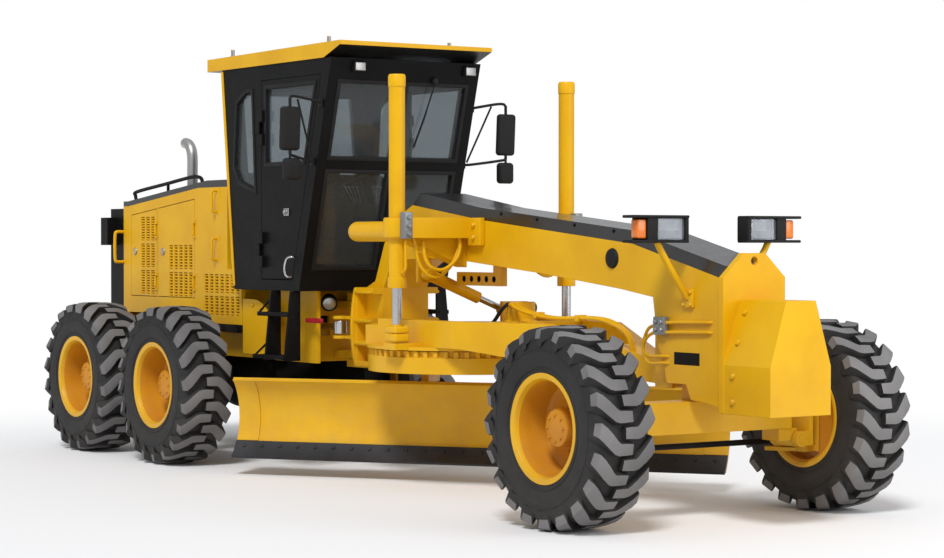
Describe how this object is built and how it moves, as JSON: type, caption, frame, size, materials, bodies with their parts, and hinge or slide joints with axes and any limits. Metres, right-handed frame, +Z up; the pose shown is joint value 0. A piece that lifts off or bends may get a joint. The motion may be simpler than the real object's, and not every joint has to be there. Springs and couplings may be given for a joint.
{
  "type": "motor grader",
  "caption": "Yellow motor grader with rear cab, tandem drive wheels, hinged frame, long angled blade under an arched beam and leaning front wheels.",
  "frame": {"origin": "on the ground below the middle of the outer box", "axes": "+X forward, +Y to the driver's left, +Z up"},
  "size_m": [8.84, 2.6, 3.432],
  "materials": {
    "yellow_paint": "gloss",
    "black_paint": "satin",
    "engine_grey": "matte",
    "bare_steel": "satin",
    "edge_steel": "worn",
    "glass": "clear",
    "seat_cloth": "woven",
    "black_plastic": "matte",
    "tyre": "matte"
  },
  "bodies": {
    "rear_body": {"rear_frame": "yellow_paint", "engine": "engine_grey", "rear_axle": "black_paint", "tandem_cases": "black_paint", "hood": "yellow_paint", "hood_top": "black_paint", "tail_frame": "black_paint", "exhaust": "bare_steel", "cab_frame": "black_paint", "cab_roof": "yellow_paint", "cab_glass": "glass", "seat": "seat_cloth", "console": "black_plastic", "steps_and_rails": "black_paint", "mirrors": "black_paint"},
    "front_body": {"front_frame": "yellow_paint", "frame_cover": "black_paint", "counterweight": "yellow_paint", "headlamps": "black_paint", "lift_saddle": "yellow_paint", "lift_barrels": "yellow_paint", "front_axle": "yellow_paint"},
    "door_right_body": {"door_right": "black_paint", "door_glass_right": "glass"},
    "door_left_body": {"door_left": "black_paint", "door_glass_left": "glass"},
    "hood_door_rr_body": {"hood_door_rr": "yellow_paint"},
    "hood_door_rf_body": {"hood_door_rf": "yellow_paint"},
    "hood_door_lr_body": {"hood_door_lr": "yellow_paint"},
    "hood_door_lf_body": {"hood_door_lf": "yellow_paint"},
    "lift_rods_body": {"lift_rods": "bare_steel"},
    "lean_right_body": {"lean_right": "yellow_paint"},
    "lean_left_body": {"lean_left": "yellow_paint"},
    "knuckle_right_body": {"knuckle_right": "yellow_paint"},
    "knuckle_left_body": {"knuckle_left": "yellow_paint"},
    "lean_bar_body": {"lean_bar": "yellow_paint"},
    "tie_rod_body": {"tie_rod": "black_paint"},
    "drawbar_body": {"drawbar": "yellow_paint"},
    "circle_body": {"circle": "yellow_paint"},
    "tilt_bracket_body": {"tilt_bracket": "yellow_paint"},
    "shift_barrel_body": {"shift_barrel": "yellow_paint"},
    "shift_rod_body": {"shift_rod": "bare_steel"},
    "hinge_barrel_right_body": {"hinge_barrel_right": "black_paint"},
    "hinge_barrel_left_body": {"hinge_barrel_left": "black_paint"},
    "hinge_rod_right_body": {"hinge_rod_right": "bare_steel"},
    "hinge_rod_left_body": {"hinge_rod_left": "bare_steel"},
    "blade_body": {"mouldboard": "yellow_paint", "cutting_edge": "edge_steel"},
    "wheel_fr_body": {"tyre_fr": "tyre", "rim_fr": "yellow_paint"},
    "wheel_fl_body": {"tyre_fl": "tyre", "rim_fl": "yellow_paint"},
    "wheel_mr_body": {"tyre_mr": "tyre", "rim_mr": "yellow_paint"},
    "wheel_ml_body": {"tyre_ml": "tyre", "rim_ml": "yellow_paint"},
    "wheel_rr_body": {"tyre_rr": "tyre", "rim_rr": "yellow_paint"},
    "wheel_rl_body": {"tyre_rl": "tyre", "rim_rl": "yellow_paint"}
  },
  "joints": [
    {"name": "articulation", "type": "hinge", "parent": "rear_body", "child": "front_body", "pos_m": [-0.85, 0, 1.12], "axis": [0, 0, 1], "range_deg": [-25, 25]},
    {"name": "lean_right", "type": "hinge", "parent": "front_body", "child": "lean_right_body", "pos_m": [3.43, -0.77, 0.5], "axis": [-1, 0, 0], "range_deg": [-18, 18]},
    {"name": "steer_right", "type": "hinge", "parent": "lean_right_body", "child": "knuckle_right_body", "pos_m": [3.43, -0.9, 0.65], "axis": [0, 0, 1], "range_deg": [-45, 45]},
    {"name": "lean_left", "type": "hinge", "parent": "front_body", "child": "lean_left_body", "pos_m": [3.43, 0.77, 0.5], "axis": [-1, 0, 0], "range_deg": [-18, 18]},
    {"name": "steer_left", "type": "hinge", "parent": "lean_left_body", "child": "knuckle_left_body", "pos_m": [3.43, 0.9, 0.65], "axis": [0, 0, 1], "range_deg": [-45, 45]},
    {"name": "lean_bar", "type": "slide", "parent": "front_body", "child": "lean_bar_body", "axis": [0, 1, 0], "range_m": [-0.0625, 0.0625]},
    {"name": "tie_rod", "type": "slide", "parent": "front_body", "child": "tie_rod_body", "axis": [0, 1, 0], "range_m": [-0.135, 0.135]},
    {"name": "wheel_fr", "type": "hinge", "parent": "knuckle_right_body", "child": "wheel_fr_body", "pos_m": [3.43, -1.0775, 0.65], "axis": [0, 1, 0], "continuous": true},
    {"name": "wheel_fl", "type": "hinge", "parent": "knuckle_left_body", "child": "wheel_fl_body", "pos_m": [3.43, 1.0775, 0.65], "axis": [0, 1, 0], "continuous": true},
    {"name": "wheel_mr", "type": "hinge", "parent": "rear_body", "child": "wheel_mr_body", "pos_m": [-2.105, -1.0775, 0.65], "axis": [0, 1, 0], "continuous": true},
    {"name": "wheel_ml", "type": "hinge", "parent": "rear_body", "child": "wheel_ml_body", "pos_m": [-2.105, 1.0775, 0.65], "axis": [0, 1, 0], "continuous": true},
    {"name": "wheel_rr", "type": "hinge", "parent": "rear_body", "child": "wheel_rr_body", "pos_m": [-3.635, -1.0775, 0.65], "axis": [0, 1, 0], "continuous": true},
    {"name": "wheel_rl", "type": "hinge", "parent": "rear_body", "child": "wheel_rl_body", "pos_m": [-3.635, 1.0775, 0.65], "axis": [0, 1, 0], "continuous": true},
    {"name": "drawbar_lift", "type": "hinge", "parent": "front_body", "child": "drawbar_body", "pos_m": [3.2, 0, 0.93], "axis": [0, 1, 0], "range_deg": [-14.5, 6.5]},
    {"name": "lift_rods", "type": "slide", "parent": "front_body", "child": "lift_rods_body", "axis": [0, 0, 1], "range_m": [-0.59, 0.265]},
    {"name": "circle_turn", "type": "hinge", "parent": "drawbar_body", "child": "circle_body", "pos_m": [0.68, 0, 1.03], "axis": [0, 0, 1], "continuous": true},
    {"name": "blade_tilt", "type": "hinge", "parent": "circle_body", "child": "tilt_bracket_body", "pos_m": [0.46252, 0.29934, 0.43], "axis": [0.809, 0.5878, 0], "range_deg": [-5, 40]},
    {"name": "blade_sideshift", "type": "slide", "parent": "tilt_bracket_body", "child": "blade_body", "axis": [-0.809, -0.5878, 0], "range_m": [-0.5, 0.5]},
    {"name": "shift_barrel_swing", "type": "hinge", "parent": "front_body", "child": "shift_barrel_body", "pos_m": [0.48, -0.23, 1.58], "axis": [1, 0, 0], "range_deg": [-38.5, 17.5]},
    {"name": "shift_rod", "type": "slide", "parent": "shift_barrel_body", "child": "shift_rod_body", "axis": [0, 0.9275, -0.3738], "range_m": [-0.095, 0.21]},
    {"name": "hinge_barrel_right", "type": "hinge", "parent": "rear_body", "child": "hinge_barrel_right_body", "pos_m": [-2, -0.3, 1.15], "axis": [0, 0, 1], "range_deg": [-3, 3]},
    {"name": "hinge_rod_right", "type": "slide", "parent": "hinge_barrel_right_body", "child": "hinge_rod_right_body", "axis": [1, -0.0077, 0], "range_m": [-0.135, 0.135]},
    {"name": "hinge_barrel_left", "type": "hinge", "parent": "rear_body", "child": "hinge_barrel_left_body", "pos_m": [-2, 0.3, 1.15], "axis": [0, 0, 1], "range_deg": [-3, 3]},
    {"name": "hinge_rod_left", "type": "slide", "parent": "hinge_barrel_left_body", "child": "hinge_rod_left_body", "axis": [1, 0.0077, 0], "range_m": [-0.135, 0.135]},
    {"name": "cab_door_right", "type": "hinge", "parent": "rear_body", "child": "door_right_body", "pos_m": [-1.31, -0.708, 2.3], "axis": [0, 0, -1], "range_deg": [0, 90]},
    {"name": "cab_door_left", "type": "hinge", "parent": "rear_body", "child": "door_left_body", "pos_m": [-1.31, 0.708, 2.3], "axis": [0, 0, 1], "range_deg": [0, 90]},
    {"name": "hood_door_rr", "type": "hinge", "parent": "rear_body", "child": "hood_door_rr_body", "pos_m": [-3.413, -0.606, 1.7], "axis": [0, 0, 1], "range_deg": [0, 90]},
    {"name": "hood_door_rf", "type": "hinge", "parent": "rear_body", "child": "hood_door_rf_body", "pos_m": [-2.683, -0.606, 1.7], "axis": [0, 0, 1], "range_deg": [0, 90]},
    {"name": "hood_door_lr", "type": "hinge", "parent": "rear_body", "child": "hood_door_lr_body", "pos_m": [-3.413, 0.606, 1.7], "axis": [0, 0, -1], "range_deg": [0, 90]},
    {"name": "hood_door_lf", "type": "hinge", "parent": "rear_body", "child": "hood_door_lf_body", "pos_m": [-2.683, 0.606, 1.7], "axis": [0, 0, -1], "range_deg": [0, 90]}
  ],
  "couplings": [
    {"joint": "lean_left", "follows": "lean_right", "ratio": 1},
    {"joint": "steer_left", "follows": "steer_right", "ratio": 1},
    {"joint": "lean_bar", "follows": "lean_right", "m_per_rad": 0.1967},
    {"joint": "tie_rod", "follows": "steer_right", "m_per_rad": -0.171},
    {"joint": "lift_rods", "follows": "drawbar_lift", "m_per_rad": 2.323},
    {"joint": "shift_barrel_swing", "follows": "drawbar_lift", "ratio": 2.6},
    {"joint": "shift_rod", "follows": "drawbar_lift", "m_per_rad": -0.8},
    {"joint": "hinge_barrel_right", "follows": "articulation", "ratio": 0.1105},
    {"joint": "hinge_barrel_left", "follows": "articulation", "ratio": 0.1105},
    {"joint": "hinge_rod_right", "follows": "articulation", "m_per_rad": 0.302},
    {"joint": "hinge_rod_left", "follows": "articulation", "m_per_rad": -0.302}
  ]
}
